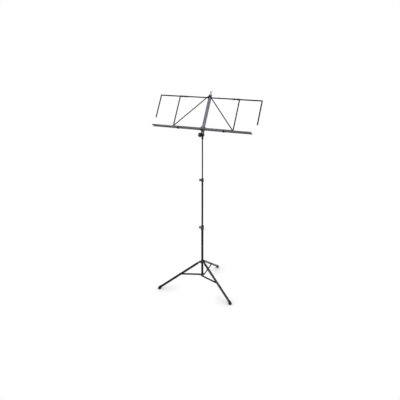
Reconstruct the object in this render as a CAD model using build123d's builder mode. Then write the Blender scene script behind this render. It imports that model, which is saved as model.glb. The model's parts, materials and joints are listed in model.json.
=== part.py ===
"""Folding music stand: three-part column on a folding tripod, with a tilting, folding desk."""
import os
from math import atan2, cos, degrees, hypot, radians, sin

from build123d import *

# Column
base_tube_dia = 17.0
middle_tube_dia = 13.0
rod_dia = 9.0
tube_wall = 1.2
turn_clearance = 0.15
slide_clearance = 0.3
lower_clamp_z = 496.0
upper_clamp_z = 870.0
tilt_axis_z = 1201.0
middle_overlap = 50.0
rod_overlap = 60.0
bush_length = 22.0
plug_length = 18.0

# Column clamps
lower_clamp_dia = 24.0
lower_clamp_height = 36.0
upper_clamp_dia = 20.0
upper_clamp_height = 24.0
clamp_edge = 1.5
boss_dia = 12.0
boss_reach = 2.0
clamp_seat = 4.0
screw_dia = 5.0
wing_hub_dia = 9.0
wing_hub_length = 2.5
wing_span = 22.0
wing_length = 12.0
wing_thickness = 4.5
wing_gap = 0.5

# Tripod
foot_circle = 335.0
leg_pivot_radius = 21.0
leg_pivot_z = 212.0
leg_dia = 17.0
leg_wall = 1.2
leg_tongue = 5.0
leg_eye_radius = 5.5
leg_tube_start = 14.0
leg_plug_length = 6.0
leg_end_z = 12.0
collar_dia = 25.0
collar_height = 26.0
cheek_thickness = 3.5
cheek_radius = 6.5
hub_dia = 24.0
hub_height = 18.0
hub_z = 98.7
hub_floor = 3.0
strut_pivot_radius = 18.0
strut_joint_share = 0.49
strut_width = 13.0
strut_thickness = 3.0
strut_gap = 0.5
lug_gap = 0.5
lug_thickness = 4.0
lug_radius = 6.5
pin_dia = 4.0
pin_head_dia = 8.0
pin_head = 1.4
foot_pad_radius = 12.0
foot_base_radius = 9.0
foot_pad_height = 16.0
foot_sleeve_wall = 1.5
foot_sleeve_length = 15.0
lock_screw_dia = 6.0
lock_screw_head = 2.2
lock_socket_dia = 3.0
lock_socket_depth = 1.2

# Tilt head and desk bracket
desk_tilt = 33.0
head_socket_dia = 14.0
head_socket_height = 16.0
head_socket_drop = 14.0
head_cap = 4.0
ear_thickness = 9.0
ear_radius = 11.0
ear_stem = 12.0
bracket_gap = 0.4
bracket_cheek = 3.0
bracket_low = 22.0
bracket_high = 62.0
bracket_depth = 8.0
bolt_dia = 6.0
washer_thickness = 1.2
washer_dia = 14.0
nut_width = 10.0
nut_thickness = 5.0
knob_dia = 30.0
knob_length = 17.0
knob_lobes = 6
knob_lobe_dia = 9.0
knob_cap_dia = 14.0
knob_cap = 3.5

# Desk frame
spine_width = 22.0
spine_web = 2.0
spine_lip = 1.6
spine_depth = 8.0
spine_front = 19.0
spine_bottom = 22.0
spine_top = 300.0
plate_thickness = 2.0
bar_thickness = 1.8
bar_gap = 0.5
rivet_gap = 1.8
bar_width = 8.5
brace_width = 7.5
brace_folded = 4.2
pivot_offset = 9.0
ledge_line = 38.3
desk_height = 235.4
desk_half = 225.0
apex_rise = 14.0
apex_eye_radius = 5.5
gusset_radius = 6.5
foot_plate_width = 36.0
foot_plate_low = 26.0
foot_plate_high = 56.0
foot_plate_corner = 4.0
plate_rivet_spread = 8.0
rivet_dia = 5.0
rivet_head_dia = 8.5
rivet_head = 1.2
bush_dia = 7.4

# Ledges and their extensions
ledge_flange_up = 4.5
ledge_shelf_drop = 14.0
ledge_depth = 39.0
ledge_end = desk_half + 8.0
ledge_gap = 1.0
extension_inner = desk_half - 85.0
extension_outer = desk_half + 145.0
extension_setback = 6.0
extension_lip = 4.8
extension_travel = 120.0
extension_guide_1 = desk_half - 55.0
extension_guide_2 = desk_half - 5.0
guide_dia = 4.0
guide_head_dia = 9.0
guide_nut_dia = 13.0
guide_nut = 7.0
stud_dia = 4.4
stud_collar_dia = 7.2
stud_head_dia = 8.0
hook_radius = 7.5
hook_play = 1.2
hook_reach = 14.0

# Top extensions and side arms
top_extension_inner = desk_half - 60.0
side_arm_u = desk_half + 158.0
top_extension_width = 9.0
top_clip_1 = desk_half - 40.0
top_clip_2 = desk_half - 13.0
top_clip_length = 8.0
top_clip_wall = 1.1
arm_length = 172.0
arm_width = 9.0

# Top hook
clip_width = 16.0
clip_thickness = 1.2
clip_low = 268.0
clip_straight = 313.0
clip_high = 327.0
clip_back = 9.0

column_y = -foot_circle / 4
column = Plane(origin=(0, column_y, 0))
base_tube_bore = base_tube_dia - 2 * tube_wall
middle_tube_bore = middle_tube_dia - 2 * tube_wall
base_tube_low = hub_z - hub_height / 2 + hub_floor
base_tube_top = lower_clamp_z - clamp_seat
middle_tube_low = base_tube_top - middle_overlap
middle_tube_top = upper_clamp_z - clamp_seat
rod_low = middle_tube_top - rod_overlap
head_socket_top = tilt_axis_z - head_socket_drop
rod_top = head_socket_top - head_cap

tilt = radians(desk_tilt)
desk_normal = (0, -cos(tilt), sin(tilt))
axis_point = (0, column_y, tilt_axis_z)
desk = Plane(origin=axis_point, x_dir=(1, 0, 0), z_dir=desk_normal)
side_view = Plane(origin=axis_point, x_dir=desk_normal, z_dir=(-1, 0, 0))
head_view = Plane(origin=axis_point, x_dir=(0, -1, 0), z_dir=(-1, 0, 0))

top_line = ledge_line + desk_height
apex_line = top_line + apex_rise
upper_w = spine_front + plate_thickness + bar_gap
side_w = upper_w + bar_thickness + rivet_gap
brace_right_w = side_w + bar_thickness + bar_gap
brace_left_w = brace_right_w + bar_thickness + bar_gap
ledge_w = brace_left_w + bar_thickness + bar_gap
extension_w = upper_w - bar_gap - bar_thickness
arm_w = extension_w - rivet_gap - bar_thickness
plate_front = spine_front + plate_thickness
web_rear = spine_front - spine_web

brace_drop = apex_line - ledge_line
brace_swing = degrees(atan2(desk_half, brace_drop)) - brace_folded
desk_swing = 90.0
brace_ratio = brace_swing / desk_swing
hook_angle = degrees(atan2(desk_half - pivot_offset + brace_ratio * desk_half, brace_ratio * brace_drop))

sides = {"left": -1, "right": 1}
leg_angles = {"left": 210.0, "right": 330.0, "rear": 90.0}
os.makedirs("parts", exist_ok=True)


def save(builder, label):
    """Name a finished piece and write its file."""
    builder.part.label = label
    export_step(builder.part, f"parts/{label}.step")


def leg_plane(angle):
    """Plane through the column axis: radius along x, height along y, sideways along z."""
    bearing = radians(angle)
    return Plane(
        origin=(0, column_y, 0),
        x_dir=(cos(bearing), sin(bearing), 0),
        z_dir=(sin(bearing), -cos(bearing), 0),
    )


def ring(z_low, z_high, outer, inner):
    """Add an upright ring on the column axis to the piece being built."""
    with BuildSketch(column.offset(z_low)) as outline:
        Circle(outer / 2)
        Circle(inner / 2, mode=Mode.SUBTRACT)
    extrude(outline.sketch, amount=z_high - z_low)


def disc(plane, point, w_low, w_high, diameter, mode=Mode.ADD):
    """Add or cut a round between two levels of a plane."""
    with BuildSketch(plane.offset(w_low)) as outline:
        with Locations(point):
            Circle(diameter / 2)
    extrude(outline.sketch, amount=w_high - w_low, mode=mode)


def flat_bar(start, end, width):
    """Sketch a flat bar with round ends between two pivot points."""
    run = (end[0] - start[0], end[1] - start[1])
    middle = ((start[0] + end[0]) / 2, (start[1] + end[1]) / 2)
    with Locations(middle):
        SlotCenterToCenter(hypot(*run), width, rotation=degrees(atan2(run[1], run[0])))


# Base tube, guide bush and lower clamp
with BuildPart() as base_tube:
    ring(base_tube_low, base_tube_top, base_tube_dia, base_tube_bore)
save(base_tube, "base_tube")

with BuildPart() as base_bush:
    ring(base_tube_top - bush_length, base_tube_top, base_tube_bore, middle_tube_dia + 2 * slide_clearance)
save(base_bush, "base_bush")


def make_clamp(clamp_z, diameter, height, tube_dia, inner_dia):
    """Collar on a tube end, with a boss for its thumb screw."""
    seat = clamp_z - clamp_seat
    low = clamp_z - height / 2
    high = clamp_z + height / 2
    with BuildPart() as clamp:
        with BuildSketch(column.offset(low)):
            Circle(diameter / 2)
        extrude(amount=height)
        chamfer(clamp.edges().filter_by(GeomType.CIRCLE), clamp_edge)
        with BuildSketch(Plane(origin=(0, column_y, clamp_z), z_dir=(-1, 0, 0))):
            Circle(boss_dia / 2)
        extrude(amount=diameter / 2 + boss_reach)
        with BuildSketch(column.offset(low)):
            Circle(tube_dia / 2)
        extrude(amount=seat - low, mode=Mode.SUBTRACT)
        with BuildSketch(column.offset(seat)):
            Circle(inner_dia / 2 + slide_clearance)
        extrude(amount=high - seat, mode=Mode.SUBTRACT)
        with BuildSketch(Plane(origin=(0, column_y, clamp_z), z_dir=(-1, 0, 0))):
            Circle(screw_dia / 2 + turn_clearance)
        extrude(amount=diameter + boss_reach, mode=Mode.SUBTRACT)
    return clamp


def make_thumb_screw(clamp_z, diameter, inner_dia):
    """Thumb screw with an oval grip, on the left side of its clamp."""
    tip = inner_dia / 2 + slide_clearance
    hub_start = diameter / 2 + boss_reach + wing_gap
    across = Plane(origin=(0, column_y, clamp_z), x_dir=(0, 1, 0), z_dir=(-1, 0, 0))
    upright = Plane(origin=(0, column_y, clamp_z), x_dir=(-1, 0, 0), z_dir=(0, 1, 0))
    with BuildPart() as screw:
        disc(across, (0, 0), tip, hub_start, screw_dia)
        disc(across, (0, 0), hub_start, hub_start + wing_hub_length, wing_hub_dia)
        with BuildSketch(upright.offset(-wing_thickness / 2)):
            with Locations((hub_start + wing_gap + wing_length / 2, 0)):
                Ellipse(wing_length / 2, wing_span / 2)
        extrude(amount=wing_thickness)
    return screw


lower_clamp = make_clamp(lower_clamp_z, lower_clamp_dia, lower_clamp_height, base_tube_dia, middle_tube_dia)
save(lower_clamp, "lower_clamp")
lower_screw = make_thumb_screw(lower_clamp_z, lower_clamp_dia, middle_tube_dia)
save(lower_screw, "lower_thumb_screw")

# Middle tube, its end plug, guide bush and upper clamp
with BuildPart() as middle_tube:
    ring(middle_tube_low, middle_tube_top, middle_tube_dia, middle_tube_bore)
save(middle_tube, "middle_tube")

with BuildPart() as middle_plug:
    ring(middle_tube_low, middle_tube_low + plug_length, middle_tube_bore, rod_dia)
    with BuildSketch(column.offset(middle_tube_low)):
        Circle(base_tube_bore / 2 - slide_clearance)
    extrude(amount=-tube_wall * 2)
save(middle_plug, "middle_plug")

with BuildPart() as middle_bush:
    ring(middle_tube_top - bush_length, middle_tube_top, middle_tube_bore, rod_dia + 2 * slide_clearance)
save(middle_bush, "middle_bush")

upper_clamp = make_clamp(upper_clamp_z, upper_clamp_dia, upper_clamp_height, middle_tube_dia, rod_dia)
save(upper_clamp, "upper_clamp")
upper_screw = make_thumb_screw(upper_clamp_z, upper_clamp_dia, rod_dia)
save(upper_screw, "upper_thumb_screw")

with BuildPart() as top_rod:
    with BuildSketch(column.offset(rod_low)):
        Circle(rod_dia / 2)
    extrude(amount=rod_top - rod_low)
save(top_rod, "top_rod")

# Strut hub: one lug per strut beside the leg's plane
strut_side = leg_dia / 2 + strut_gap
lug_low = strut_side - lug_gap - lug_thickness
with BuildPart() as strut_hub:
    with BuildSketch(column.offset(hub_z - hub_height / 2)):
        Circle(hub_dia / 2)
    extrude(amount=hub_height)
    chamfer(strut_hub.edges().filter_by(GeomType.CIRCLE), clamp_edge)
    for angle in leg_angles.values():
        with BuildSketch(leg_plane(angle).offset(lug_low)):
            with Locations((strut_pivot_radius / 2, hub_z)):
                Rectangle(strut_pivot_radius, 2 * lug_radius)
            with Locations((strut_pivot_radius, hub_z)):
                Circle(lug_radius)
        extrude(amount=lug_thickness)
    for angle in leg_angles.values():
        disc(leg_plane(angle), (strut_pivot_radius, hub_z), lug_low, strut_side, pin_dia, Mode.SUBTRACT)
    with BuildSketch(column.offset(base_tube_low)):
        Circle(base_tube_dia / 2)
    extrude(amount=hub_height, mode=Mode.SUBTRACT)
save(strut_hub, "strut_hub")

strut_outer = strut_side + strut_thickness
strut_head_low = strut_outer + turn_clearance
with BuildPart() as strut_pins:
    for angle in leg_angles.values():
        plane = leg_plane(angle)
        pivot = (strut_pivot_radius, hub_z)
        disc(plane, pivot, lug_low, strut_head_low, pin_dia)
        disc(plane, pivot, strut_head_low, strut_head_low + pin_head, pin_head_dia)
save(strut_pins, "strut_pins")

front = Plane(origin=(0, column_y, hub_z), x_dir=(1, 0, 0), z_dir=(0, -1, 0))
with BuildPart() as lock_screw:
    head_face = hub_dia / 2 + lock_screw_head
    disc(front, (0, 0), hub_dia / 2, head_face, lock_screw_dia)
    disc(front, (0, 0), head_face - lock_socket_depth, head_face, lock_socket_dia, Mode.SUBTRACT)
save(lock_screw, "lock_screw")

# Leg collar with a clevis per leg
cheek_low = leg_tongue / 2 + slide_clearance
cheek_high = cheek_low + cheek_thickness
with BuildPart() as leg_collar:
    with BuildSketch(column.offset(leg_pivot_z - collar_height / 2)):
        Circle(collar_dia / 2)
    extrude(amount=collar_height)
    chamfer(leg_collar.edges().filter_by(GeomType.CIRCLE), clamp_edge)
    for angle in leg_angles.values():
        for level in (cheek_low, -cheek_high):
            with BuildSketch(leg_plane(angle).offset(level)):
                with Locations((leg_pivot_radius / 2, leg_pivot_z)):
                    Rectangle(leg_pivot_radius, 2 * cheek_radius)
                with Locations((leg_pivot_radius, leg_pivot_z)):
                    Circle(cheek_radius)
            extrude(amount=cheek_thickness)
    for angle in leg_angles.values():
        pivot = (leg_pivot_radius, leg_pivot_z)
        disc(leg_plane(angle), pivot, -cheek_high, cheek_high, pin_dia, Mode.SUBTRACT)
    with BuildSketch(column.offset(leg_pivot_z - collar_height)):
        Circle(base_tube_dia / 2 + slide_clearance)
    extrude(amount=2 * collar_height, mode=Mode.SUBTRACT)
save(leg_collar, "leg_collar")

with BuildPart() as leg_pins:
    for angle in leg_angles.values():
        plane = leg_plane(angle)
        pivot = (leg_pivot_radius, leg_pivot_z)
        disc(plane, pivot, -cheek_high, cheek_high, pin_dia)
        disc(plane, pivot, cheek_high, cheek_high + pin_head, pin_head_dia)
        disc(plane, pivot, -cheek_high - pin_head, -cheek_high, pin_head_dia)
save(leg_pins, "leg_pins")

# Legs, struts and feet
leg_run = foot_circle - leg_pivot_radius
leg_drop = leg_pivot_z - leg_end_z
leg_length = hypot(leg_run, leg_drop)
leg_slope = degrees(atan2(-leg_drop, leg_run))
strut_end = (
    leg_pivot_radius + strut_joint_share * leg_run,
    leg_pivot_z - strut_joint_share * leg_drop,
)


def leg_axis(angle):
    """Plane at a leg's pivot, looking down the leg."""
    frame = leg_plane(angle)
    pivot = frame.from_local_coords((leg_pivot_radius, leg_pivot_z, 0))
    run = frame.x_dir * (leg_run / leg_length) - Vector(0, 0, leg_drop / leg_length)
    return Plane(origin=pivot, x_dir=frame.z_dir, z_dir=run)


def make_leg(angle):
    """Round tube leg with a flat tongue at its pivot."""
    frame = leg_plane(angle)
    along = leg_axis(angle)
    tongue_end = leg_tube_start + leg_plug_length
    with BuildPart() as leg:
        with BuildSketch(frame.offset(-leg_tongue / 2)):
            with Locations((leg_pivot_radius, leg_pivot_z)):
                Circle(leg_eye_radius)
                with Locations(Location((0, 0), leg_slope)):
                    with Locations((leg_tube_start / 2, 0)):
                        Rectangle(leg_tube_start, 2 * leg_eye_radius)
        extrude(amount=leg_tongue)
        disc(along, (0, 0), leg_tube_start, tongue_end, leg_dia)
        with BuildSketch(along.offset(tongue_end)):
            Circle(leg_dia / 2)
            Circle(leg_dia / 2 - leg_wall, mode=Mode.SUBTRACT)
        extrude(amount=leg_length - tongue_end)
        disc(
            frame,
            (leg_pivot_radius, leg_pivot_z),
            -leg_tongue,
            leg_tongue,
            pin_dia + 2 * turn_clearance,
            Mode.SUBTRACT,
        )
    return leg


def make_strut(angle):
    """Flat strut beside a leg, with a formed rivet head at the leg."""
    frame = leg_plane(angle)
    start = (strut_pivot_radius, hub_z)
    with BuildPart() as strut:
        with BuildSketch(frame.offset(strut_side)):
            flat_bar(start, strut_end, strut_width)
            with Locations(start):
                Circle(pin_dia / 2 + turn_clearance, mode=Mode.SUBTRACT)
        extrude(amount=strut_thickness)
        disc(frame, strut_end, strut_outer, strut_outer + pin_head, pin_head_dia)
    return strut


def make_foot(angle):
    """Rubber foot: a flat-bottomed pad with a sleeve up the leg."""
    frame = leg_plane(angle)
    along = leg_axis(angle)
    with BuildPart() as foot:
        with BuildSketch(frame):
            with BuildLine():
                Polyline(
                    (foot_circle, foot_pad_height),
                    (foot_circle, 0),
                    (foot_circle + foot_base_radius, 0),
                )
                ThreePointArc(
                    (foot_circle + foot_base_radius, 0),
                    (foot_circle + foot_pad_radius, foot_pad_height / 2),
                    (foot_circle, foot_pad_height),
                )
            make_face()
        revolve(axis=Axis(frame.from_local_coords((foot_circle, 0, 0)), (0, 0, 1)))
        sleeve_dia = leg_dia + 2 * foot_sleeve_wall
        disc(along, (0, 0), leg_length - foot_sleeve_length, leg_length, sleeve_dia)
        disc(along, (0, 0), leg_length - 2 * foot_sleeve_length, leg_length, leg_dia, Mode.SUBTRACT)
    return foot


for name, angle in leg_angles.items():
    leg = make_leg(angle)
    save(leg, f"leg_{name}")
    strut = make_strut(angle)
    save(strut, f"strut_{name}")
    foot = make_foot(angle)
    save(foot, f"foot_{name}")

# Tilt head on the rod
with BuildPart() as tilt_head:
    with BuildSketch(column.offset(head_socket_top - head_socket_height)):
        Circle(head_socket_dia / 2)
    extrude(amount=head_socket_height)
    chamfer(tilt_head.edges().filter_by(GeomType.CIRCLE), clamp_edge)
    with BuildSketch(head_view.offset(-ear_thickness / 2)):
        Circle(ear_radius)
        with Locations((0, -head_socket_drop / 2)):
            Rectangle(ear_stem, head_socket_drop + 2 * clamp_edge)
    extrude(amount=ear_thickness)
    with BuildSketch(head_view.offset(-ear_thickness)):
        Circle(bolt_dia / 2 + turn_clearance)
    extrude(amount=2 * ear_thickness, mode=Mode.SUBTRACT)
    with BuildSketch(column.offset(head_socket_top - head_socket_height)):
        Circle(rod_dia / 2 + turn_clearance)
    extrude(amount=head_socket_height - head_cap, mode=Mode.SUBTRACT)
save(tilt_head, "tilt_head")

# Clevis bracket of the desk, with bolt, nut, washers and knob
cheek_inner = ear_thickness / 2 + bracket_gap
cheek_outer = cheek_inner + bracket_cheek
bracket_middle = (bracket_low + bracket_high) / 2
with BuildPart() as desk_bracket:
    for level in (cheek_inner, -cheek_outer):
        with BuildSketch(side_view.offset(level)):
            Circle(ear_radius)
            with Locations((web_rear - bracket_depth / 2, bracket_middle)):
                Rectangle(bracket_depth, bracket_high - bracket_low)
            make_hull()
        extrude(amount=bracket_cheek)
    with BuildSketch(desk.offset(web_rear - bracket_cheek)):
        with Locations((0, bracket_middle)):
            Rectangle(2 * cheek_outer, bracket_high - bracket_low)
    extrude(amount=bracket_cheek)
    with BuildSketch(side_view.offset(-2 * cheek_outer)):
        Circle(bolt_dia / 2 + turn_clearance)
    extrude(amount=4 * cheek_outer, mode=Mode.SUBTRACT)
save(desk_bracket, "desk_bracket")

washer_outer = cheek_outer + washer_thickness
with BuildPart() as tilt_washers:
    for level in (cheek_outer, -washer_outer):
        with BuildSketch(side_view.offset(level)):
            Circle(washer_dia / 2)
            Circle(bolt_dia / 2 + turn_clearance, mode=Mode.SUBTRACT)
        extrude(amount=washer_thickness)
save(tilt_washers, "tilt_washers")

with BuildPart() as tilt_nut:
    with BuildSketch(side_view.offset(-washer_outer - nut_thickness)):
        RegularPolygon(nut_width / 2, 6, major_radius=False)
        Circle(bolt_dia / 2 + turn_clearance, mode=Mode.SUBTRACT)
    extrude(amount=nut_thickness)
save(tilt_nut, "tilt_nut")

knob_start = washer_outer + slide_clearance
with BuildPart() as tilt_bolt:
    disc(side_view, (0, 0), -washer_outer - nut_thickness - pin_head, knob_start, bolt_dia)
save(tilt_bolt, "tilt_bolt")

with BuildPart() as tilt_knob:
    disc(side_view, (0, 0), knob_start, knob_start + knob_length, knob_dia)
    with BuildSketch(side_view.offset(knob_start)):
        with PolarLocations(knob_dia / 2 + knob_lobe_dia / 4, knob_lobes):
            Circle(knob_lobe_dia / 2)
    extrude(amount=knob_length, mode=Mode.SUBTRACT)
    disc(side_view, (0, 0), knob_start + knob_length, knob_start + knob_length + knob_cap, knob_cap_dia)
save(tilt_knob, "tilt_knob")

# Spine, plates and top hook
spine_length = spine_top - spine_bottom
spine_middle = (spine_top + spine_bottom) / 2
with BuildPart() as spine:
    with BuildSketch(desk.offset(web_rear)):
        with Locations((0, spine_middle)):
            Rectangle(spine_width, spine_length)
    extrude(amount=spine_web)
    with BuildSketch(desk.offset(spine_front - spine_depth)):
        lip_u = (spine_width - spine_lip) / 2
        with Locations((lip_u, spine_middle), (-lip_u, spine_middle)):
            Rectangle(spine_lip, spine_length)
    extrude(amount=spine_depth)
save(spine, "spine")

with BuildPart() as top_gusset:
    with BuildSketch(desk.offset(spine_front)):
        with Locations((pivot_offset, top_line), (-pivot_offset, top_line), (0, apex_line)):
            Circle(gusset_radius)
        make_hull()
    extrude(amount=plate_thickness)
save(top_gusset, "top_gusset")

with BuildPart() as foot_plate:
    with BuildSketch(desk.offset(spine_front)):
        with Locations((0, (foot_plate_low + foot_plate_high) / 2)):
            RectangleRounded(foot_plate_width, foot_plate_high - foot_plate_low, foot_plate_corner)
    extrude(amount=plate_thickness)
save(foot_plate, "foot_plate")

clip_w = web_rear - clip_thickness / 2
with BuildPart() as top_hook:
    with BuildSketch(side_view.offset(-clip_width / 2)):
        with BuildLine():
            Line((clip_w, clip_low), (clip_w, clip_straight))
            ThreePointArc(
                (clip_w, clip_straight),
                (clip_w - clip_back / 4, clip_high - clip_thickness),
                (clip_w - clip_back, clip_high),
            )
        trace(line_width=clip_thickness)
    extrude(amount=clip_width)
save(top_hook, "top_hook")

with BuildPart() as plate_rivets:
    for level in (bracket_middle - plate_rivet_spread, bracket_middle + plate_rivet_spread):
        disc(desk, (0, level), plate_front, plate_front + rivet_head, rivet_dia)
    disc(desk, (0, top_line), plate_front, plate_front + rivet_head, rivet_dia)
save(plate_rivets, "plate_rivets")

# Pivots that stay on the spine
ledge_front = ledge_w + bar_thickness
post_shoulder = ledge_w - slide_clearance
post_head = ledge_front + slide_clearance
with BuildPart() as ledge_posts:
    for sign in sides.values():
        pivot = (sign * pivot_offset, ledge_line)
        disc(desk, pivot, plate_front, post_shoulder, bush_dia)
        disc(desk, pivot, post_shoulder, post_head, rivet_dia)
        disc(desk, pivot, post_head, post_head + rivet_head, rivet_head_dia)
save(ledge_posts, "ledge_posts")

upper_front = upper_w + bar_thickness
top_rivet_head = upper_front + turn_clearance
with BuildPart() as top_rivets:
    for sign in sides.values():
        pivot = (sign * pivot_offset, top_line)
        disc(desk, pivot, plate_front, top_rivet_head, rivet_dia)
        disc(desk, pivot, top_rivet_head, top_rivet_head + rivet_head, rivet_head_dia)
save(top_rivets, "top_rivets")

apex_shoulder = brace_right_w - slide_clearance
apex_head = brace_left_w + bar_thickness + turn_clearance
with BuildPart() as apex_pin:
    disc(desk, (0, apex_line), plate_front, apex_shoulder, bush_dia)
    disc(desk, (0, apex_line), apex_shoulder, apex_head, rivet_dia)
    disc(desk, (0, apex_line), apex_head, apex_head + rivet_head, rivet_head_dia)
save(apex_pin, "apex_pin")


def make_ledge(sign):
    """Angle-section ledge: a flange with its pivot and a shelf towards the player."""
    pivot = (sign * pivot_offset, ledge_line)
    flange_height = ledge_flange_up + ledge_shelf_drop
    flange_middle = ledge_line + (ledge_flange_up - ledge_shelf_drop) / 2
    inner_length = pivot_offset - ledge_gap
    shelf_middle = (sign * (ledge_gap + ledge_end) / 2, ledge_line - ledge_shelf_drop - bar_thickness / 2)
    with BuildPart() as ledge:
        with BuildSketch(desk.offset(ledge_w)):
            with Locations((sign * (pivot_offset + ledge_end) / 2, flange_middle)):
                Rectangle(ledge_end - pivot_offset, flange_height)
            with Locations(pivot):
                Circle(inner_length)
            with Locations((sign * (ledge_gap + pivot_offset) / 2, ledge_line - ledge_shelf_drop / 2)):
                Rectangle(inner_length, ledge_shelf_drop)
        extrude(amount=bar_thickness)
        with BuildSketch(desk.offset(ledge_w)):
            with Locations(shelf_middle):
                Rectangle(ledge_end - ledge_gap, bar_thickness)
        extrude(amount=ledge_depth)
        disc(desk, pivot, ledge_w, ledge_front, rivet_dia + 2 * turn_clearance, Mode.SUBTRACT)
        disc(desk, (sign * desk_half, ledge_line), ledge_w, ledge_front, stud_dia, Mode.SUBTRACT)
    return ledge


shelf_low = ledge_line - ledge_shelf_drop - bar_thickness
strip_top = shelf_low - bar_gap
strip_low = strip_top - bar_thickness
guide_w = ledge_w + ledge_depth / 2 + extension_setback / 2
lip_w = ledge_w + ledge_depth + bar_gap
extension_middle = (extension_inner + extension_outer) / 2
extension_length = extension_outer - extension_inner
under = Plane(origin=desk.from_local_coords((0, strip_top, 0)), x_dir=(1, 0, 0), z_dir=desk.y_dir * -1)


def make_ledge_extension(sign):
    """Slotted strip under the shelf, with a lip around the shelf's front edge."""
    slot_start = extension_guide_1 - guide_dia
    slot_end = extension_guide_2 + extension_travel + guide_dia
    strip_depth = lip_w + bar_thickness - ledge_w - extension_setback
    with BuildPart() as extension:
        with BuildSketch(desk.offset(ledge_w + extension_setback)):
            with Locations((sign * extension_middle, (strip_top + strip_low) / 2)):
                Rectangle(extension_length, bar_thickness)
        extrude(amount=strip_depth)
        with BuildSketch(desk.offset(lip_w)):
            with Locations((sign * extension_middle, strip_low + extension_lip / 2)):
                Rectangle(extension_length, extension_lip)
        extrude(amount=bar_thickness)
        with BuildSketch(under):
            with Locations((sign * (slot_start + slot_end) / 2, guide_w)):
                SlotOverall(slot_end - slot_start, guide_dia + 2 * slide_clearance)
        extrude(amount=bar_thickness, mode=Mode.SUBTRACT)
    return extension


def make_ledge_studs(sign, brace_w):
    """Pivot stud of the side bar and brace, and the nut and guide of the ledge extension."""
    pivot = (sign * desk_half, ledge_line)
    rear = side_w - turn_clearance
    side_front = side_w + bar_thickness
    collar_low = side_front + slide_clearance
    collar_high = ledge_w
    if brace_w == brace_right_w:
        collar_low = brace_right_w + bar_thickness + bar_gap
    else:
        collar_high = brace_left_w - bar_gap
    with BuildPart() as studs:
        disc(desk, pivot, rear, ledge_front, stud_dia)
        disc(desk, pivot, rear - rivet_head, rear, stud_head_dia)
        disc(desk, pivot, collar_low, collar_high, stud_collar_dia)
        disc(desk, pivot, ledge_front, ledge_front + rivet_head, stud_head_dia)
        guide_low = bar_thickness + slide_clearance
        for u, head, head_dia in (
            (extension_guide_1, guide_nut, guide_nut_dia),
            (extension_guide_2, rivet_head, guide_head_dia),
        ):
            disc(under, (sign * u, guide_w), -bar_gap, guide_low, guide_dia)
            disc(under, (sign * u, guide_w), guide_low, guide_low + head, head_dia)
    return studs


def make_upper_bar(sign):
    """Upper bar from the top gusset to the side bar."""
    inner = (sign * pivot_offset, top_line)
    outer = (sign * desk_half, top_line)
    with BuildPart() as upper:
        with BuildSketch(desk.offset(upper_w)):
            flat_bar(inner, outer, bar_width)
            with Locations(inner):
                Circle(rivet_dia / 2 + turn_clearance, mode=Mode.SUBTRACT)
            with Locations(outer):
                Circle(stud_dia / 2, mode=Mode.SUBTRACT)
        extrude(amount=bar_thickness)
    return upper


def make_upper_rivets(sign):
    """Pivot of the side bar on the end of the upper bar."""
    outer = (sign * desk_half, top_line)
    side_front = side_w + bar_thickness + turn_clearance
    with BuildPart() as rivets:
        disc(desk, outer, upper_w, side_front, stud_dia)
        disc(desk, outer, side_front, side_front + rivet_head, stud_head_dia)
        disc(desk, outer, upper_front, side_w - turn_clearance, stud_collar_dia)
    return rivets


def make_top_clips(sign):
    """Two folded clips round the upper bar that carry the top extension behind it."""
    rear = extension_w - slide_clearance
    opening = top_extension_width + 2 * slide_clearance
    centres = [(sign * top_clip_1, top_line), (sign * top_clip_2, top_line)]
    with BuildPart() as clips:
        with BuildSketch(desk.offset(rear - top_clip_wall)):
            with Locations(centres):
                Rectangle(top_clip_length, opening + 2 * top_clip_wall)
        extrude(amount=upper_front - rear + 2 * top_clip_wall)
        with BuildSketch(desk.offset(rear)):
            with Locations(centres):
                Rectangle(top_clip_length, opening)
        extrude(amount=upper_front - rear, mode=Mode.SUBTRACT)
    return clips


def make_side_bar(sign):
    """Upright bar between the ledge and the upper bar."""
    low = (sign * desk_half, ledge_line)
    high = (sign * desk_half, top_line)
    with BuildPart() as side:
        with BuildSketch(desk.offset(side_w)):
            flat_bar(low, high, bar_width)
            with Locations(low, high):
                Circle(stud_dia / 2 + turn_clearance, mode=Mode.SUBTRACT)
        extrude(amount=bar_thickness)
    return side


def make_brace(sign, brace_w):
    """Brace from the apex pin to the ledge stud, with an open hook at the stud."""
    apex = (0, apex_line)
    hook = (sign * desk_half, ledge_line)
    opening = radians(hook_angle)
    reach = (sign * cos(opening) * hook_reach / 2, sin(opening) * hook_reach / 2)
    mouth = (hook[0] + reach[0], hook[1] + reach[1])
    mouth_width = stud_dia + hook_play
    with BuildPart() as brace:
        with BuildSketch(desk.offset(brace_w)):
            flat_bar(apex, hook, brace_width)
            with Locations(apex):
                Circle(apex_eye_radius)
            with Locations(hook):
                Circle(hook_radius)
            with Locations(apex):
                Circle(rivet_dia / 2 + turn_clearance, mode=Mode.SUBTRACT)
            with Locations(mouth):
                SlotCenterToCenter(hook_reach, mouth_width, rotation=sign * hook_angle, mode=Mode.SUBTRACT)
        extrude(amount=bar_thickness)
    return brace


def make_top_extension(sign):
    """Bar that slides out behind the upper bar."""
    inner = (sign * top_extension_inner, top_line)
    outer = (sign * side_arm_u, top_line)
    with BuildPart() as extension:
        with BuildSketch(desk.offset(extension_w)):
            flat_bar(inner, outer, top_extension_width)
            with Locations(outer):
                Circle(pin_dia / 2, mode=Mode.SUBTRACT)
        extrude(amount=bar_thickness)
    return extension


def make_side_arm(sign):
    """Arm that hangs from the end of a top extension."""
    high = (sign * side_arm_u, top_line)
    low = (sign * side_arm_u, top_line - arm_length)
    with BuildPart() as arm:
        with BuildSketch(desk.offset(arm_w)):
            flat_bar(low, high, arm_width)
            with Locations(high):
                Circle(pin_dia / 2 + turn_clearance, mode=Mode.SUBTRACT)
        extrude(amount=bar_thickness)
    return arm


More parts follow.
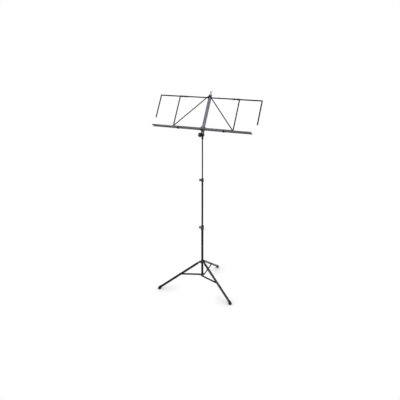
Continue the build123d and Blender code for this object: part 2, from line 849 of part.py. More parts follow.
def make_arm_rivet(sign):
    """Pivot of a side arm, held in its top extension."""
    pivot = (sign * side_arm_u, top_line)
    rear = arm_w - turn_clearance
    front_face = extension_w + bar_thickness
    with BuildPart() as rivet:
        disc(desk, pivot, rear, front_face, pin_dia)
        disc(desk, pivot, rear - rivet_head, rear, pin_head_dia)
        disc(desk, pivot, arm_w + bar_thickness + turn_clearance, extension_w, pin_head_dia)
        disc(desk, pivot, front_face, front_face + rivet_head, pin_head_dia)
    return rivet


for name, sign in sides.items():
    brace_w = brace_right_w if name == "right" else brace_left_w
    save(make_ledge(sign), f"ledge_{name}")
    save(make_ledge_studs(sign, brace_w), f"ledge_studs_{name}")
    save(make_ledge_extension(sign), f"ledge_extension_{name}")
    save(make_upper_bar(sign), f"upper_bar_{name}")
    save(make_upper_rivets(sign), f"upper_rivets_{name}")
    save(make_top_clips(sign), f"top_clips_{name}")
    save(make_side_bar(sign), f"side_bar_{name}")
    save(make_brace(sign, brace_w), f"brace_{name}")
    save(make_top_extension(sign), f"top_extension_{name}")
    save(make_side_arm(sign), f"side_arm_{name}")
    save(make_arm_rivet(sign), f"arm_rivet_{name}")
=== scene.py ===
"""Looks of the folding music stand: materials, small detail, studio and camera."""
import json
import math

import bmesh
import bpy
from mathutils import Matrix, Vector


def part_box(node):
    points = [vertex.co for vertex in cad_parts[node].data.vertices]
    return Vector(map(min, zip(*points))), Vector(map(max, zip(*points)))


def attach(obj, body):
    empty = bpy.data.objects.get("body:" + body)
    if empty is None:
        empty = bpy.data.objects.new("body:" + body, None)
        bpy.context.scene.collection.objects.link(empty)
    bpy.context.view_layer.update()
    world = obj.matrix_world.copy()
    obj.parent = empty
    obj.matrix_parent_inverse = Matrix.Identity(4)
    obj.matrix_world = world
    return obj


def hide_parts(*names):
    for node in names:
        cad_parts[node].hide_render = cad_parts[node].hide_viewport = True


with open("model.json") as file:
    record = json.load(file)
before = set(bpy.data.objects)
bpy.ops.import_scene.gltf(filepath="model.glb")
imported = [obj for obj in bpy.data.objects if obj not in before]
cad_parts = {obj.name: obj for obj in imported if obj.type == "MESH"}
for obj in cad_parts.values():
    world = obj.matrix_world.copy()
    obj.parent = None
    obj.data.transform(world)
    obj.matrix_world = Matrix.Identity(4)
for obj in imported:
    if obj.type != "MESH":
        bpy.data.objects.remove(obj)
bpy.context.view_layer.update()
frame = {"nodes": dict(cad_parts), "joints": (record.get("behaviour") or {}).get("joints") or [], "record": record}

# Camera, found by fitting points of the stand to the photograph
CAMERA_DISTANCE = 3.3279
CAMERA_HEIGHT = 1.9228
CAMERA_AZIMUTH = 22.49
CAMERA_HEADING = 22.79
CAMERA_PITCH = 19.91
CAMERA_ROLL = -0.05
LEVEL_VIEW = 90.0
SENSOR_WIDTH = 36.0
FOCAL_PIXELS = 481.66
PHOTO_PIXELS = 400.0

# Studio
FLOOR_SIZE = 14.0
SHADOW_REACH = 0.09
WHITE = (1.0, 1.0, 1.0, 1.0)
WHITE_STRENGTH = 1.0
FLOOR_COLOUR = (0.8, 0.79, 0.84, 1.0)
SKY_COLOUR = (0.92, 0.9, 1.0, 1.0)
SKY_STRENGTH = 0.10
OPEN_SPREAD = 180.0
KEY_PLACE = (-0.85, -1.36, 2.6)
KEY_TARGET_HEIGHT = 1.3
KEY_POWER = 2.2
KEY_SIZE = 0.8
KEY_SPREAD = 40.0
TOP_PLACE = (-0.33, -1.87, 2.5)
TOP_TARGET = (0.22, -0.21, 0.05)
TOP_POWER = 3.0
TOP_SIZE = 0.4
TOP_SPREAD = 25.0
RIM_PLACE = (1.4, 2.2, 2.0)
RIM_TARGET_HEIGHT = 0.8
RIM_POWER = 60.0
RIM_SIZE = 1.6

nodes = frame["nodes"]
record = frame["record"]
joints = {joint["name"]: joint for joint in frame["joints"]}
tube_low, tube_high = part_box("base_tube")
column = (tube_low + tube_high) / 2

# Softened edges of sheet metal and plastic
EDGE_RADIUS = 0.0004
EDGE_SAMPLES = 4

# Noise of the surfaces: scale, detail, and its share in colour, gloss and relief
RAMP_START = 0.3
RAMP_END = 0.7
RELIEF_DEPTH = 0.0001
DRIFT_SCALE = 14.0
DRIFT_DETAIL = 4.0
PEEL_SCALE = 900.0
PEEL_DETAIL = 2.0
PEEL_GLOSS = 0.05
PEEL_RELIEF = 0.05
PLASTIC_SCALE = 1600.0
RUBBER_SCALE = 600.0
STEEL_SCALE = 1400.0
STEEL_DETAIL = 3.0
STEEL_GLOSS = 0.08
STEEL_RELIEF = 0.08


def new_material(name):
    """Material with an empty node tree, its shader and its output."""
    material = bpy.data.materials.new(name)
    material.use_nodes = True
    tree = material.node_tree
    tree.nodes.clear()
    shader = tree.nodes.new("ShaderNodeBsdfPrincipled")
    output = tree.nodes.new("ShaderNodeOutputMaterial")
    tree.links.new(shader.outputs["BSDF"], output.inputs["Surface"])
    return material, tree, shader


def add_noise(tree, scale, detail):
    """Noise in object space."""
    place = tree.nodes.new("ShaderNodeTexCoord")
    noise = tree.nodes.new("ShaderNodeTexNoise")
    noise.inputs["Scale"].default_value = scale
    noise.inputs["Detail"].default_value = detail
    tree.links.new(place.outputs["Object"], noise.inputs["Vector"])
    return noise


def add_ramp(tree, source, low, high):
    """Colour ramp between two colours, driven by a noise."""
    ramp = tree.nodes.new("ShaderNodeValToRGB")
    start, end = ramp.color_ramp.elements
    start.color = low
    end.color = high
    start.position = RAMP_START
    end.position = RAMP_END
    tree.links.new(source.outputs["Fac"], ramp.inputs["Fac"])
    return ramp


def add_bump(tree, shader, source, strength):
    """Surface relief from a noise, over softly rounded edges."""
    bump = tree.nodes.new("ShaderNodeBump")
    edge = tree.nodes.new("ShaderNodeBevel")
    edge.samples = EDGE_SAMPLES
    edge.inputs["Radius"].default_value = EDGE_RADIUS
    tree.links.new(edge.outputs["Normal"], bump.inputs["Normal"])
    bump.inputs["Strength"].default_value = strength
    bump.inputs["Distance"].default_value = RELIEF_DEPTH
    tree.links.new(source.outputs["Fac"], bump.inputs["Height"])
    tree.links.new(bump.outputs["Normal"], shader.inputs["Normal"])


def add_range(tree, source, low, high):
    """Map a noise to a range of values."""
    spread = tree.nodes.new("ShaderNodeMapRange")
    spread.inputs["To Min"].default_value = low
    spread.inputs["To Max"].default_value = high
    tree.links.new(source.outputs["Fac"], spread.inputs["Value"])
    return spread


def paint(name, low, high, roughness, shine, grain=PEEL_SCALE):
    """Paint, plastic or rubber: slight colour drift, fine relief and uneven gloss."""
    material, tree, shader = new_material(name)
    drift = add_noise(tree, DRIFT_SCALE, DRIFT_DETAIL)
    tint = add_ramp(tree, drift, low, high)
    tree.links.new(tint.outputs["Color"], shader.inputs["Base Color"])
    peel = add_noise(tree, grain, PEEL_DETAIL)
    gloss = add_range(tree, peel, roughness - PEEL_GLOSS, roughness + PEEL_GLOSS)
    tree.links.new(gloss.outputs["Result"], shader.inputs["Roughness"])
    add_bump(tree, shader, peel, PEEL_RELIEF)
    shader.inputs["Specular IOR Level"].default_value = shine
    return material


def metal(name, low, high, roughness):
    """Plated or blackened steel with fine grain."""
    material, tree, shader = new_material(name)
    grain = add_noise(tree, STEEL_SCALE, STEEL_DETAIL)
    tint = add_ramp(tree, grain, low, high)
    tree.links.new(tint.outputs["Color"], shader.inputs["Base Color"])
    gloss = add_range(tree, grain, roughness - STEEL_GLOSS, roughness + STEEL_GLOSS)
    tree.links.new(gloss.outputs["Result"], shader.inputs["Roughness"])
    add_bump(tree, shader, grain, STEEL_RELIEF)
    shader.inputs["Metallic"].default_value = 1.0
    return material


BLACK = ((0.006, 0.006, 0.008, 1.0), (0.012, 0.011, 0.014, 1.0))
ANTHRACITE = ((0.105, 0.101, 0.118, 1.0), (0.135, 0.130, 0.150, 1.0))
GREY = ((0.165, 0.157, 0.198, 1.0), (0.195, 0.186, 0.232, 1.0))
PLASTIC = ((0.009, 0.009, 0.010, 1.0), (0.018, 0.018, 0.020, 1.0))
CLAMP = ((0.040, 0.040, 0.043, 1.0), (0.062, 0.062, 0.066, 1.0))
RUBBER = ((0.006, 0.006, 0.006, 1.0), (0.013, 0.013, 0.013, 1.0))
BRIGHT = ((0.11, 0.11, 0.115, 1.0), (0.19, 0.19, 0.195, 1.0))
DARK_STEEL = ((0.05, 0.05, 0.055, 1.0), (0.10, 0.10, 0.11, 1.0))

# One material per slot of the record
materials = {
    "black_paint": paint("black_paint", *BLACK, roughness=0.40, shine=0.10),
    "anthracite_paint": paint("anthracite_paint", *ANTHRACITE, roughness=0.42, shine=0.22),
    "black_plastic": paint(
        "black_plastic", *PLASTIC, roughness=0.38, shine=0.30, grain=PLASTIC_SCALE
    ),
    "rubber": paint("rubber", *RUBBER, roughness=0.76, shine=0.12, grain=RUBBER_SCALE),
    "bright_steel": metal("bright_steel", *BRIGHT, roughness=0.32),
    "dark_steel": metal("dark_steel", *DARK_STEEL, roughness=0.38),
}

# Finishes of their own within a slot
bar_paint = paint("bar_paint", *BLACK, roughness=0.42, shine=0.06)
spine_paint = paint("spine_paint", *GREY, roughness=0.42, shine=0.22)
clamp_plastic = paint("clamp_plastic", *CLAMP, roughness=0.40, shine=0.30, grain=PLASTIC_SCALE)
knob_plastic = paint("knob_plastic", *PLASTIC, roughness=0.24, shine=0.35, grain=PLASTIC_SCALE)

# Nodes, by the start of their names, that don't take the material of their slot
NODE_FINISHES = (
    (("upper_bar", "side_bar", "brace", "side_arm", "top_extension", "top_clips"), bar_paint),
    (("spine", "top_gusset"), spine_paint),
    (("lower_clamp", "upper_clamp"), clamp_plastic),
    (("tilt_head", "foot_plate"), materials["black_paint"]),
    (("ledge_extension",), materials["anthracite_paint"]),
)

# The rear leg keeps the lighter anthracite paint of its slot while the other two legs are black: that lighter grey
# is a painted reflection on a black leg.
for part in record["subparts"]:
    finish = materials[part["material_slot"]]
    for starts, own_finish in NODE_FINISHES:
        if part["node"].startswith(starts):
            finish = own_finish
    mesh = nodes[part["node"]].data
    mesh.materials.clear()
    mesh.materials.append(finish)


# Small detail that the plain shapes leave out
SIDES = ("left", "right")
LEGS = ("left", "right", "rear")
LEFT = Vector((-1.0, 0.0, 0.0))
RIGHT = Vector((1.0, 0.0, 0.0))
UP = Vector((0.0, 0.0, 1.0))
desk_normal = Vector(joints["desk_fold"]["axis"])
desk_up = desk_normal.cross(RIGHT)
axis_point = Vector(joints["desk_tilt"]["pos_m"])

ROUND_STEPS = 28
EMBED = 0.0002
SHARP_EDGE = 40.0


def turned(direction, point):
    """Matrix that puts the Z axis along a direction at a point."""
    return Matrix.Translation(point) @ direction.to_track_quat("Z", "Y").to_matrix().to_4x4()


def scaled(shares, radius, length):
    """Profile of (radius, height) pairs from shares of a radius and a length."""
    return [(across * radius, along * length) for across, along in shares]


def plain_round(angle):
    """Radius factor of a plain round section."""
    return 1.0


def lathe(bm, profile, place, steps=ROUND_STEPS, section=plain_round, closed=False):
    """Turn a profile of (radius, height) pairs about the Z axis of a matrix."""
    rings = []
    for radius, height in profile:
        if radius == 0.0:
            rings.append([bm.verts.new(place @ Vector((0.0, 0.0, height)))])
            continue
        ring = []
        for step in range(steps):
            angle = 2 * math.pi * step / steps
            reach = radius * section(angle)
            spot = Vector((reach * math.cos(angle), reach * math.sin(angle), height))
            ring.append(bm.verts.new(place @ spot))
        rings.append(ring)
    if closed:
        rings.append(rings[0])
    for low, high in zip(rings, rings[1:]):
        for step in range(steps):
            after = (step + 1) % steps
            if len(low) == 1:
                bm.faces.new((low[0], high[after], high[step]))
            elif len(high) == 1:
                bm.faces.new((low[step], low[after], high[0]))
            else:
                bm.faces.new((low[step], low[after], high[after], high[step]))


def finish_piece(name, bm, body, slot_name, finish=None):
    """Make an object from a mesh in the making and tie it to its body."""
    bmesh.ops.recalc_face_normals(bm, faces=bm.faces[:])
    mesh = bpy.data.meshes.new(name)
    bm.to_mesh(mesh)
    bm.free()
    for face in mesh.polygons:
        face.use_smooth = True
    mesh.set_sharp_from_angle(angle=math.radians(SHARP_EDGE))
    mesh.materials.append(finish or materials[slot_name])
    piece = bpy.data.objects.new(name, mesh)
    bpy.context.scene.collection.objects.link(piece)
    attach(piece, body)
    return piece


def outer_face(node, direction):
    """Middle of the face of a node that lies farthest along a direction."""
    spots = [vertex.co.copy() for vertex in nodes[node].data.vertices]
    far = max(spot.dot(direction) for spot in spots)
    face = [spot for spot in spots if spot.dot(direction) > far - EMBED]
    return sum(face, Vector()) / len(face)


def pivot_of(joint):
    """A joint's pivot point."""
    return Vector(joints[joint]["pos_m"])


def on_desk(u, v):
    """Point of the desk plane, through the tilt axis."""
    return axis_point + u * RIGHT + v * desk_up


# Domed rivet heads. The top rivets keep flat ones, because the side bars fold over them
DOME_STEPS = 5
DOME_SHARE = 0.92
DOME_RISE = 0.26
HEAD_SEARCH = 0.006


def head_face(node, point, direction):
    """Centre and radius of a rivet head's outer face, near a line through a point."""
    spots = []
    for vertex in nodes[node].data.vertices:
        offset = vertex.co - point
        along = offset.dot(direction)
        aside = (offset - along * direction).length
        if aside < HEAD_SEARCH:
            spots.append((along, aside))
    height = max(along for along, aside in spots)
    radius = max(aside for along, aside in spots if along > height - EMBED)
    return point + height * direction, radius


def dome_profile(radius):
    """Low dome with a short upright rim."""
    profile = [(radius, -EMBED)]
    rise = radius * DOME_RISE
    for step in range(DOME_STEPS):
        angle = math.pi / 2 * step / DOME_STEPS
        profile.append((radius * math.cos(angle), rise * math.sin(angle)))
    profile.append((0.0, rise))
    return profile


def add_domes(name, body, node, point_directions):
    """Domed heads on the flat rivet heads of a node."""
    bm = bmesh.new()
    for point, direction in point_directions:
        centre, radius = head_face(node, point, direction)
        lathe(bm, dome_profile(radius * DOME_SHARE), turned(direction, centre))
    finish_piece(name, bm, body, "dark_steel")


def both_ways(point, direction):
    """A rivet's two heads."""
    return [(point, direction), (point, -direction)]


front = desk_normal
fold_pivots = [pivot_of("desk_fold"), pivot_of("ledge_left_fold")]
post_heads = [(pivot, front) for pivot in fold_pivots]
add_domes("ledge_post_domes", "desk", "ledge_posts", post_heads)
add_domes("apex_dome", "desk", "apex_pin", [(pivot_of("brace_left_fold"), front)])

for side in SIDES:
    stud = pivot_of(f"side_{side}_fold")
    rise = (pivot_of(f"upper_{side}_fold") - fold_pivots[0]).dot(desk_up)
    corner_heads = [(stud + rise * desk_up, front)]
    stud_heads = both_ways(stud, front)
    arm_heads = both_ways(pivot_of(f"side_arm_{side}_swing"), front)
    add_domes(f"stud_domes_{side}", f"ledge_{side}", f"ledge_studs_{side}", stud_heads)
    add_domes(f"corner_domes_{side}", f"upper_{side}", f"upper_rivets_{side}", corner_heads)
    add_domes(f"arm_domes_{side}", f"top_extension_{side}", f"arm_rivet_{side}", arm_heads)

leg_heads = []
strut_heads = []
for leg in LEGS:
    leg_axis = Vector(joints[f"leg_{leg}_fold"]["axis"])
    strut_axis = Vector(joints[f"strut_{leg}_fold"]["axis"])
    leg_heads += both_ways(pivot_of(f"leg_{leg}_fold"), leg_axis)
    strut_heads.append((pivot_of(f"strut_{leg}_fold"), strut_axis))
    head = outer_face(f"strut_{leg}", strut_axis)
    add_domes(f"strut_domes_{leg}", f"strut_{leg}", f"strut_{leg}", [(head, strut_axis)])
add_domes("leg_pin_domes", "leg_collar", "leg_pins", leg_heads)
add_domes("strut_pin_domes", "base", "strut_pins", strut_heads)

# Tilt knob with soft flutes and a centre cap
KNOB_RADIUS = 0.016
KNOB_LENGTH = 0.0185
KNOB_LOBES = 6
KNOB_FLUTE = 0.16
KNOB_STEPS = 72
KNOB_SHARES = (
    (0.0, 0.0),
    (0.80, 0.0),
    (0.94, 0.06),
    (1.0, 0.2),
    (1.0, 0.76),
    (0.95, 0.91),
    (0.82, 1.0),
    (0.60, 0.96),
    (0.0, 0.94),
)
CAP_RADIUS = 0.007
CAP_RISE = 0.0035
CAP_FOOT = 0.9
CAP_SHARES = ((1.0, 0.5), (0.86, 0.88), (0.5, 0.98), (0.0, 1.0))


def knob_section(angle):
    """Fluted section: shallow hollows between round lobes."""
    return 1.0 - KNOB_FLUTE * ((1.0 + math.cos(KNOB_LOBES * angle)) / 2) ** 2


knob_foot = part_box("tilt_knob")[1].x
knob_place = turned(LEFT, Vector((knob_foot, axis_point.y, axis_point.z)))
knob_profile = scaled(KNOB_SHARES, KNOB_RADIUS, KNOB_LENGTH)
knob_mesh = bmesh.new()
lathe(knob_mesh, knob_profile, knob_place, KNOB_STEPS, knob_section)
knob = finish_piece("knob_body", knob_mesh, "tilt_screw", "black_plastic", knob_plastic)
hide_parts("tilt_knob")

# The centre cap's lighter anthracite paint is a painted highlight in the middle of the black knob.
cap_profile = [(CAP_RADIUS, CAP_FOOT * KNOB_LENGTH)]
for radius, height in scaled(CAP_SHARES, CAP_RADIUS, CAP_RISE):
    cap_profile.append((radius, KNOB_LENGTH + height))
cap_mesh = bmesh.new()
lathe(cap_mesh, cap_profile, knob_place)
finish_piece("knob_cap", cap_mesh, "tilt_screw", "anthracite_paint")

# Thumb screws with dished oval grips
SHANK_RADIUS = 0.0025
THREAD_PITCH = 0.0008
THREAD_DEPTH = 0.0003
HUB_RADIUS = 0.0045
HUB_LENGTH = 0.0025
HUB_SHARES = ((0.0, 0.0), (0.88, 0.0), (1.0, 0.1), (0.94, 0.7), (0.7, 0.94), (0.0, 1.0))
GRIP_HALF_LENGTH = 0.006
GRIP_HALF_SPAN = 0.011
GRIP_HALF_THICKNESS = 0.00225
GRIP_GAP = 0.0005
GRIP_STEPS = 44
# Shares of the half thickness and of the outline, from one dished face to the other
GRIP_LAYERS = (
    (-0.55, 0.45),
    (-0.7, 0.68),
    (-1.0, 0.84),
    (-0.8, 0.95),
    (-0.4, 1.0),
    (0.4, 1.0),
    (0.8, 0.95),
    (1.0, 0.84),
    (0.7, 0.68),
    (0.55, 0.45),
)


def grip_plate(bm, outline, place):
    """Plate with rounded rims and dished faces: an outline round the origin, thickness along Z."""
    layers = []
    for height, share in GRIP_LAYERS:
        layer = []
        for x, y in outline:
            spot = Vector((x * share, y * share, height * GRIP_HALF_THICKNESS))
            layer.append(bm.verts.new(place @ spot))
        layers.append(layer)
    for low, high in zip(layers, layers[1:]):
        for index in range(len(outline)):
            after = (index + 1) % len(outline)
            bm.faces.new((low[index], low[after], high[after], high[index]))
    bm.faces.new(layers[0])
    bm.faces.new(layers[-1])


def thread_profile(length):
    """Shank with round thread ridges, to just past a length."""
    profile = [(0.0, 0.0)]
    for step in range(int(length / THREAD_PITCH)):
        profile.append((SHANK_RADIUS - THREAD_DEPTH, step * THREAD_PITCH))
        profile.append((SHANK_RADIUS, (step + 0.5) * THREAD_PITCH))
    profile.append((SHANK_RADIUS - THREAD_DEPTH, length + EMBED))
    return profile


hub_profile = scaled(HUB_SHARES, HUB_RADIUS, HUB_LENGTH)
grip_turn = Matrix.Rotation(math.pi / 2, 4, "X")
grip_outline = []
for step in range(GRIP_STEPS):
    angle = 2 * math.pi * step / GRIP_STEPS
    grip_outline.append((GRIP_HALF_LENGTH * math.cos(angle), GRIP_HALF_SPAN * math.sin(angle)))

for level in ("lower", "upper"):
    screw_low, screw_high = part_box(f"{level}_thumb_screw")
    height = (screw_low.z + screw_high.z) / 2
    start = Vector((screw_high.x, column.y, height))
    grip = Vector((screw_low.x + GRIP_HALF_LENGTH, column.y, height))
    hub = grip - (GRIP_HALF_LENGTH + GRIP_GAP) * LEFT
    screw_mesh = bmesh.new()
    lathe(screw_mesh, thread_profile((start - hub).length), turned(LEFT, start))
    lathe(screw_mesh, hub_profile, turned(LEFT, hub))
    grip_plate(screw_mesh, grip_outline, Matrix.Translation(grip) @ grip_turn)
    screw = finish_piece(
        f"{level}_grip_screw", screw_mesh, f"{level}_screw", "black_plastic", clamp_plastic
    )
    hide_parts(f"{level}_thumb_screw")

# Raised bands on the column clamps and lips of the guide bushes
BAND_RISE = 0.0007
BAND_HALF = 0.0014
BAND_SHOULDER = 0.7
BAND_PLACES = (0.13, 0.87)
LIP_GAP = 0.0003
LIP_WIDTH = 0.0016
LIP_HEIGHT = 0.0013
LIP_SHOULDER = 0.6
CLAMP_STEPS = 48


def band_profile(radius, height):
    """Half-round band about an axis."""
    return [
        (radius - EMBED, height - BAND_HALF),
        (radius + BAND_SHOULDER * BAND_RISE, height - BAND_SHOULDER * BAND_HALF),
        (radius + BAND_RISE, height),
        (radius + BAND_SHOULDER * BAND_RISE, height + BAND_SHOULDER * BAND_HALF),
        (radius - EMBED, height + BAND_HALF),
    ]


def lip_profile(radius, height):
    """Flat ring with a slanted outer edge, about an axis."""
    return [
        (radius, height - EMBED),
        (radius + LIP_WIDTH, height - EMBED),
        (radius + LIP_WIDTH, height + LIP_SHOULDER * LIP_HEIGHT),
        (radius + LIP_SHOULDER * LIP_WIDTH, height + LIP_HEIGHT),
        (radius, height + LIP_HEIGHT),
    ]


for level, body, inner in (("lower", "base", "middle_tube"), ("upper", "middle", "top_rod")):
    clamp_low, clamp_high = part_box(f"{level}_clamp")
    inner_low, inner_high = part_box(inner)
    radius = (clamp_high.y - clamp_low.y) / 2
    inner_radius = (inner_high.x - inner_low.x) / 2 + LIP_GAP
    height = clamp_high.z - clamp_low.z
    foot = turned(UP, Vector((0.0, column.y, clamp_low.z)))
    bands = bmesh.new()
    for share in BAND_PLACES:
        lathe(bands, band_profile(radius, share * height), foot, CLAMP_STEPS, closed=True)
    finish_piece(f"{level}_clamp_bands", bands, body, "black_plastic", clamp_plastic)
    lip = bmesh.new()
    lathe(lip, lip_profile(inner_radius, height), foot, CLAMP_STEPS, closed=True)
    finish_piece(f"{level}_bush_lip", lip, body, "black_plastic", clamp_plastic)

# Ribs round the sleeves of the rubber feet
RIB_BACK = (0.006, 0.0095, 0.013)
SLEEVE_RADIUS = 0.010
SLEEVE_STEPS = 40
TIP_DEPTH = 0.0005

rib_profile = band_profile(SLEEVE_RADIUS, 0.0)
for leg in LEGS:
    pivot = pivot_of(f"leg_{leg}_fold")
    spots = [vertex.co.copy() for vertex in nodes[f"leg_{leg}"].data.vertices]
    far = max((spot - pivot).length for spot in spots)
    tips = [spot for spot in spots if (spot - pivot).length > far - TIP_DEPTH]
    end = sum(tips, Vector()) / len(tips)
    along = (end - pivot).normalized()
    ribs = bmesh.new()
    for back_off in RIB_BACK:
        place = turned(along, end - back_off * along)
        lathe(ribs, rib_profile, place, SLEEVE_STEPS, closed=True)
    finish_piece(f"foot_ribs_{leg}", ribs, f"leg_{leg}", "rubber")

# Knurled covers of the lock nuts under the ledges
NUT_RADIUS = 0.0069
NUT_HEIGHT = 0.007
NUT_RIBS = 24
NUT_KNURL = 0.06
NUT_STEPS = 96
NUT_SHARES = (
    (0.0, 0.05),
    (0.92, 0.05),
    (1.0, 0.15),
    (1.0, 0.86),
    (0.92, 1.0),
    (0.6, 1.06),
    (0.0, 1.08),
)


def nut_section(angle):
    """Knurled section: fine ribs round the edge."""
    return 1.0 - NUT_KNURL * (1.0 + math.cos(NUT_RIBS * angle)) / 2


nut_profile = scaled(NUT_SHARES, NUT_RADIUS, NUT_HEIGHT)
for side in SIDES:
    nut_end = outer_face(f"ledge_studs_{side}", -desk_up)
    nut_place = turned(-desk_up, nut_end + NUT_HEIGHT * desk_up)
    nut_mesh = bmesh.new()
    lathe(nut_mesh, nut_profile, nut_place, NUT_STEPS, nut_section)
    finish_piece(f"lock_nut_{side}", nut_mesh, f"ledge_{side}", "black_plastic")

# Two pressed stiffening beads along the spine, flat and narrow at their ends
PRESS_ASIDE = 0.0055
PRESS_HALF_WIDTH = 0.0014
PRESS_HEIGHT = 0.0006
PRESS_LOW = 0.072
PRESS_HIGH = 0.255
PRESS_RUN_OUT = 0.004
PRESS_END_WIDTH = 0.2
PRESS_STEPS = 8
PRESS_ROWS = (
    (PRESS_LOW, 0.0),
    (PRESS_LOW + PRESS_RUN_OUT, 1.0),
    (PRESS_HIGH - PRESS_RUN_OUT, 1.0),
    (PRESS_HIGH, 0.0),
)

spine_spots = [vertex.co - axis_point for vertex in nodes["spine"].data.vertices]
spine_face = max(spot.dot(desk_normal) for spot in spine_spots)
beads = bmesh.new()
for aside in (-PRESS_ASIDE, PRESS_ASIDE):
    rows = []
    for level, share in PRESS_ROWS:
        row = []
        for step in range(PRESS_STEPS + 1):
            angle = math.pi * step / PRESS_STEPS
            across = aside + PRESS_HALF_WIDTH * math.cos(angle) * max(share, PRESS_END_WIDTH)
            lift = spine_face - EMBED + (PRESS_HEIGHT + EMBED) * math.sin(angle) * share
            row.append(beads.verts.new(on_desk(across, level) + lift * desk_normal))
        rows.append(row)
    for low, high in zip(rows, rows[1:]):
        for step in range(PRESS_STEPS):
            beads.faces.new((low[step], low[step + 1], high[step + 1], high[step]))
        beads.faces.new((low[PRESS_STEPS], low[0], high[0], high[PRESS_STEPS]))
    beads.faces.new(rows[0])
    beads.faces.new(rows[-1])
finish_piece("spine_beads", beads, "desk", "anthracite_paint", spine_paint)

# Rolled bead along the lip of each ledge extension
ROLL_RADIUS = 0.00105
ROLL_SHOULDER = 0.7
ROLL_NOSE = 0.3
ROLL_STEPS = 16
SHEET = 0.0018


def roll_profile(length):
    """Round bar with rounded ends."""
    return [
        (0.0, 0.0),
        (ROLL_SHOULDER * ROLL_RADIUS, ROLL_NOSE * ROLL_RADIUS),
        (ROLL_RADIUS, ROLL_RADIUS),
        (ROLL_RADIUS, length - ROLL_RADIUS),
        (ROLL_SHOULDER * ROLL_RADIUS, length - ROLL_NOSE * ROLL_RADIUS),
        (0.0, length),
    ]


for side in SIDES:
    extension = nodes[f"ledge_extension_{side}"].data
    spots = [vertex.co - axis_point for vertex in extension.vertices]
    u_low = min(spot.x for spot in spots)
    u_high = max(spot.x for spot in spots)
    v_top = max(spot.dot(desk_up) for spot in spots)
    w_front = max(spot.dot(desk_normal) for spot in spots)
    start = on_desk(u_low, v_top) + (w_front - SHEET / 2) * desk_normal
    roll = bmesh.new()
    lathe(roll, roll_profile(u_high - u_low), turned(-LEFT, start), ROLL_STEPS)
    finish_piece(f"lip_bead_{side}", roll, f"ledge_extension_{side}", "anthracite_paint")


# Studio: white floor and sky, soft lights
def seen_rays(tree):
    """Factor that is 1 for rays that show the background: camera, mirrored and through glass."""
    rays = tree.nodes.new("ShaderNodeLightPath")
    total = rays.outputs["Is Camera Ray"]
    for kind in ("Is Glossy Ray", "Is Transmission Ray"):
        join = tree.nodes.new("ShaderNodeMath")
        join.operation = "MAXIMUM"
        tree.links.new(total, join.inputs[0])
        tree.links.new(rays.outputs[kind], join.inputs[1])
        total = join.outputs["Value"]
    return total


def add_floor():
    """Pale floor that reads as white, with a soft shadow close to the feet."""
    bpy.ops.mesh.primitive_plane_add(size=FLOOR_SIZE, location=(0, 0, 0))
    floor = bpy.context.object
    floor.name = "studio_floor"
    material = bpy.data.materials.new("studio_floor")
    material.use_nodes = True
    tree = material.node_tree
    tree.nodes.clear()
    output = tree.nodes.new("ShaderNodeOutputMaterial")
    diffuse = tree.nodes.new("ShaderNodeBsdfDiffuse")
    diffuse.inputs["Color"].default_value = FLOOR_COLOUR
    contact = tree.nodes.new("ShaderNodeAmbientOcclusion")
    contact.inputs["Color"].default_value = WHITE
    contact.inputs["Distance"].default_value = SHADOW_REACH
    glow = tree.nodes.new("ShaderNodeEmission")
    glow.inputs["Strength"].default_value = WHITE_STRENGTH
    tree.links.new(contact.outputs["Color"], glow.inputs["Color"])
    mix = tree.nodes.new("ShaderNodeMixShader")
    tree.links.new(seen_rays(tree), mix.inputs["Fac"])
    tree.links.new(diffuse.outputs["BSDF"], mix.inputs[1])
    tree.links.new(glow.outputs["Emission"], mix.inputs[2])
    tree.links.new(mix.outputs["Shader"], output.inputs["Surface"])
    floor.data.materials.append(material)


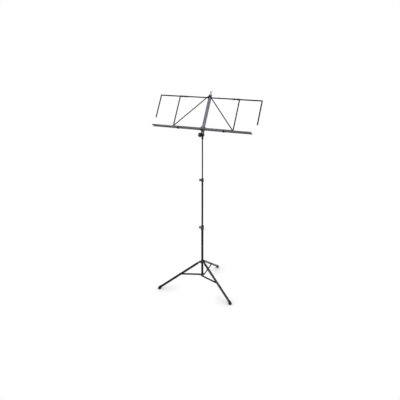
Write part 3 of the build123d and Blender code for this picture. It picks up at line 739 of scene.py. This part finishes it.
def add_sky():
    """Soft sky light behind a backdrop that reads as white."""
    world = bpy.data.worlds.new("studio")
    bpy.context.scene.world = world
    world.use_nodes = True
    tree = world.node_tree
    tree.nodes.clear()
    output = tree.nodes.new("ShaderNodeOutputWorld")
    soft = tree.nodes.new("ShaderNodeBackground")
    soft.inputs["Color"].default_value = SKY_COLOUR
    soft.inputs["Strength"].default_value = SKY_STRENGTH
    plain = tree.nodes.new("ShaderNodeBackground")
    plain.inputs["Color"].default_value = WHITE
    plain.inputs["Strength"].default_value = WHITE_STRENGTH
    mix = tree.nodes.new("ShaderNodeMixShader")
    tree.links.new(seen_rays(tree), mix.inputs["Fac"])
    tree.links.new(soft.outputs["Background"], mix.inputs[1])
    tree.links.new(plain.outputs["Background"], mix.inputs[2])
    tree.links.new(mix.outputs["Shader"], output.inputs["Surface"])


def add_light(name, place, target, power, size, spread=OPEN_SPREAD, mirrored=True):
    """Soft area light that looks at a point, seen in reflections or not."""
    data = bpy.data.lights.new(name, "AREA")
    data.energy = power
    data.size = size
    data.spread = math.radians(spread)
    lamp = bpy.data.objects.new(name, data)
    lamp.location = place
    lamp.visible_glossy = mirrored
    aim = Vector(target) - Vector(place)
    lamp.rotation_euler = aim.to_track_quat("-Z", "Y").to_euler()
    bpy.context.scene.collection.objects.link(lamp)


def add_camera():
    """Camera at the photograph's place."""
    data = bpy.data.cameras.new("camera")
    data.sensor_width = SENSOR_WIDTH
    data.lens = FOCAL_PIXELS / PHOTO_PIXELS * SENSOR_WIDTH
    camera = bpy.data.objects.new("camera", data)
    azimuth = math.radians(CAMERA_AZIMUTH)
    camera.location = (
        CAMERA_DISTANCE * math.sin(azimuth),
        column.y - CAMERA_DISTANCE * math.cos(azimuth),
        CAMERA_HEIGHT,
    )
    heading = Matrix.Rotation(math.radians(CAMERA_HEADING), 4, "Z")
    pitch = Matrix.Rotation(math.radians(LEVEL_VIEW - CAMERA_PITCH), 4, "X")
    roll = Matrix.Rotation(math.radians(CAMERA_ROLL), 4, "Z")
    camera.rotation_euler = (heading @ pitch @ roll).to_euler()
    bpy.context.scene.collection.objects.link(camera)
    bpy.context.scene.camera = camera


add_floor()
add_sky()
key_target = (0.0, column.y, KEY_TARGET_HEIGHT)
rim_target = (0.0, column.y, RIM_TARGET_HEIGHT)
add_light("key", KEY_PLACE, key_target, KEY_POWER, KEY_SIZE, KEY_SPREAD)
add_light("top", TOP_PLACE, TOP_TARGET, TOP_POWER, TOP_SIZE, TOP_SPREAD)
add_light("rim", RIM_PLACE, rim_target, RIM_POWER, RIM_SIZE, mirrored=False)
add_camera()

bpy.context.scene.view_settings.view_transform = "Standard"
